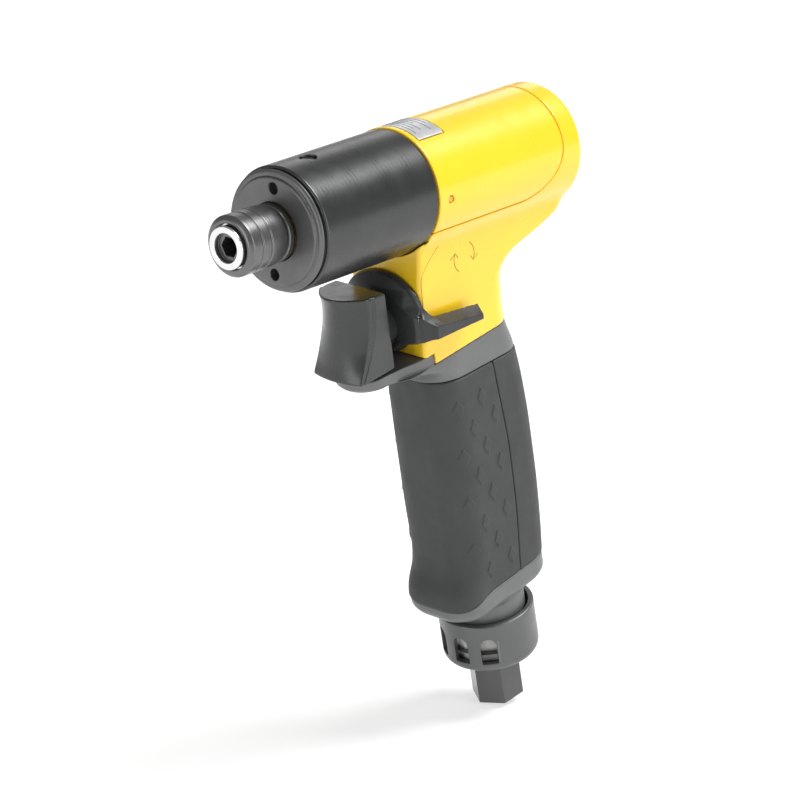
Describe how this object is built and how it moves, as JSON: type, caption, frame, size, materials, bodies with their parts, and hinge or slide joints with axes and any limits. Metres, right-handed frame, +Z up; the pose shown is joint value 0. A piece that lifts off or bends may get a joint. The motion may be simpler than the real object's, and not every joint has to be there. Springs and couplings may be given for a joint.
{
  "type": "impact wrench",
  "caption": "Air-driven pistol-grip impact tool: round barrel with quick-change hex chuck, trigger with reverse lever, rubber grip, swivelling exhaust ring and hex air inlet.",
  "frame": {"origin": "centre of the bounding box's bottom face, at the height of the air inlet's lowest corner", "axes": "+X forward along the spindle out of the nose, +Y the tool's left side, +Z up"},
  "size_m": [0.1614, 0.0474, 0.2327],
  "materials": {
    "yellow_shell": "gloss yellow enamel",
    "black_case": "satin black hard-coated case",
    "dark_steel": "satin blackened steel",
    "bright_steel": "ground bright steel",
    "bronze": "sintered bronze",
    "cast_alloy": "satin grey cast aluminium",
    "grip_rubber": "matt moulded rubber",
    "black_plastic": "satin black glass-filled plastic",
    "trigger_plastic": "satin dark grey plastic",
    "vane_composite": "laminated vane material",
    "label_foil": "silver foil plate",
    "felt": "sintered pale silencer",
    "seal_rubber": "black nitrile"
  },
  "bodies": {
    "housing": {"hammer_case": "black_case", "nose_cap": "black_case", "nose_bush": "bronze", "nose_seal": "seal_rubber", "grease_plug": "dark_steel", "motor_housing": "yellow_shell", "handle_housing": "yellow_shell", "label_plate": "label_foil", "locating_pin": "bronze", "front_end_plate": "cast_alloy", "rear_end_plate": "cast_alloy", "front_bearing_outer_race": "bright_steel", "rear_bearing_outer_race": "bright_steel", "motor_cylinder": "cast_alloy", "rear_gasket": "seal_rubber", "rear_spacer": "cast_alloy", "valve_body": "cast_alloy", "valve_plug": "bronze", "handle_frame": "cast_alloy", "grip_sleeve": "grip_rubber", "grip_back": "grip_rubber", "base_cap": "cast_alloy", "air_tube": "bright_steel", "silencer": "felt", "silencer_ring": "seal_rubber", "air_inlet": "dark_steel", "inlet_strainer": "bronze"},
    "rotor_unit": {"rotor": "dark_steel", "vane_1": "vane_composite", "vane_2": "vane_composite", "vane_3": "vane_composite", "vane_4": "vane_composite", "vane_5": "vane_composite", "front_bearing_inner_race": "bright_steel", "rear_bearing_inner_race": "bright_steel", "hammer_cage": "dark_steel", "hammer_pin_upper": "bright_steel", "hammer_pin_lower": "bright_steel"},
    "front_hammer": {"hammer_front": "dark_steel"},
    "rear_hammer": {"hammer_rear": "dark_steel"},
    "front_balls": {"front_bearing_ball_cage": "bronze"},
    "rear_balls": {"rear_bearing_ball_cage": "bronze"},
    "spindle": {"anvil": "dark_steel", "chuck_ring": "bright_steel"},
    "sleeve": {"chuck_sleeve": "dark_steel", "chuck_spring": "bright_steel"},
    "detent": {"detent_ball": "bright_steel"},
    "trigger_unit": {"trigger": "trigger_plastic", "valve_stem": "bright_steel", "poppet_seal": "seal_rubber", "valve_spring": "bright_steel"},
    "reverse_unit": {"reverse_lever": "black_plastic", "reverse_valve": "bronze"},
    "exhaust_unit": {"exhaust_ring": "cast_alloy"}
  },
  "joints": [
    {"name": "rotor_spin", "type": "hinge", "parent": "housing", "child": "rotor_unit", "pos_m": [-0.02885, 0, 0.21045], "axis": [1, 0, 0], "continuous": true},
    {"name": "front_hammer_rock", "type": "hinge", "parent": "rotor_unit", "child": "front_hammer", "pos_m": [0.03015, 0, 0.22345], "axis": [1, 0, 0], "range_deg": [-3, 3]},
    {"name": "rear_hammer_rock", "type": "hinge", "parent": "rotor_unit", "child": "rear_hammer", "pos_m": [0.01615, 0, 0.19745], "axis": [1, 0, 0], "range_deg": [-3, 3]},
    {"name": "front_balls_spin", "type": "hinge", "parent": "housing", "child": "front_balls", "pos_m": [-0.00475, 0, 0.21045], "axis": [1, 0, 0], "continuous": true},
    {"name": "rear_balls_spin", "type": "hinge", "parent": "housing", "child": "rear_balls", "pos_m": [-0.05295, 0, 0.21045], "axis": [1, 0, 0], "continuous": true},
    {"name": "spindle_spin", "type": "hinge", "parent": "housing", "child": "spindle", "pos_m": [0.05415, 0, 0.21045], "axis": [1, 0, 0], "continuous": true},
    {"name": "sleeve_slide", "type": "slide", "parent": "spindle", "child": "sleeve", "axis": [1, 0, 0], "range_m": [0, 0.003], "stiffness_N_per_m": 1500, "springref_m": -0.002, "deforming": ["chuck_spring"]},
    {"name": "detent_ball_slide", "type": "slide", "parent": "spindle", "child": "detent", "axis": [0, 0, 1], "range_m": [0, 0.0005]},
    {"name": "trigger_slide", "type": "slide", "parent": "housing", "child": "trigger_unit", "axis": [-0.9925, 0, 0.1219], "range_m": [0, 0.005], "stiffness_N_per_m": 900, "springref_m": -0.004, "deforming": ["valve_spring"]},
    {"name": "reverse_lever_turn", "type": "hinge", "parent": "housing", "child": "reverse_unit", "pos_m": [-0.00025, 0, 0.16495], "axis": [0.9925, 0, -0.1219], "range_deg": [-12, 12]},
    {"name": "exhaust_ring_turn", "type": "hinge", "parent": "housing", "child": "exhaust_unit", "pos_m": [-0.05463, 0, 0.03097], "axis": [0.1953, 0, 0.9808], "continuous": true}
  ],
  "couplings": [
    {"joint": "spindle_spin", "follows": "rotor_spin", "ratio": 1},
    {"joint": "front_balls_spin", "follows": "rotor_spin", "ratio": 0.4225},
    {"joint": "rear_balls_spin", "follows": "rotor_spin", "ratio": 0.4225},
    {"joint": "rear_hammer_rock", "follows": "front_hammer_rock", "ratio": 1},
    {"joint": "detent_ball_slide", "follows": "sleeve_slide", "ratio": 0.16667}
  ]
}
